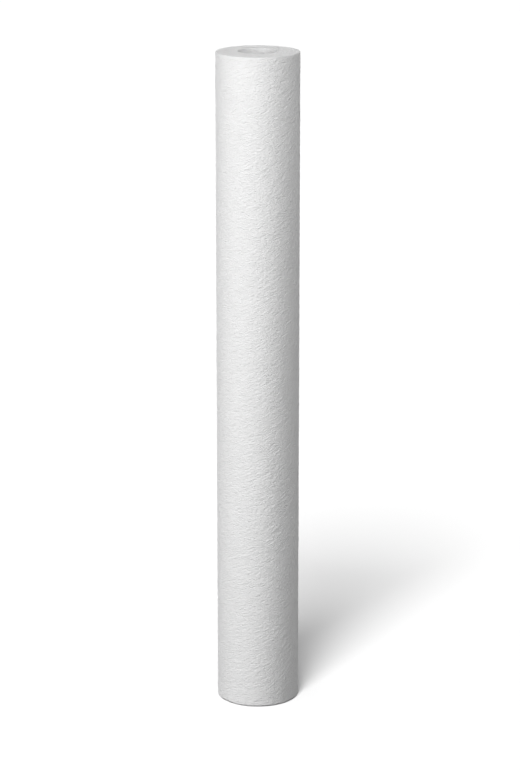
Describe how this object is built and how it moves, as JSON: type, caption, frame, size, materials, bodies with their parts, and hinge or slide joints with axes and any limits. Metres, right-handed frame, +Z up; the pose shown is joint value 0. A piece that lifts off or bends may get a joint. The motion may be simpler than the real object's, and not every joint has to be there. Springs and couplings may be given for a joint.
{
  "type": "melt-blown sediment filter cartridge",
  "caption": "Tall, slim one-piece tube of spun polypropylene fibre that filters sediment from water, cut square at both ends, with a plain through bore.",
  "frame": {"origin": "centre of the lower end face, on the bore's axis", "axes": "+Z up along the bore; X and Y are any radial pair, because the tube is the same all round"},
  "size_m": [0.0636, 0.0636, 0.508],
  "materials": {
    "spun_polypropylene": "white melt-blown fibre, matt and slightly wrinkled, with no print"
  },
  "bodies": {
    "root": {"filter_tube": "spun_polypropylene"}
  },
  "joints": []
}
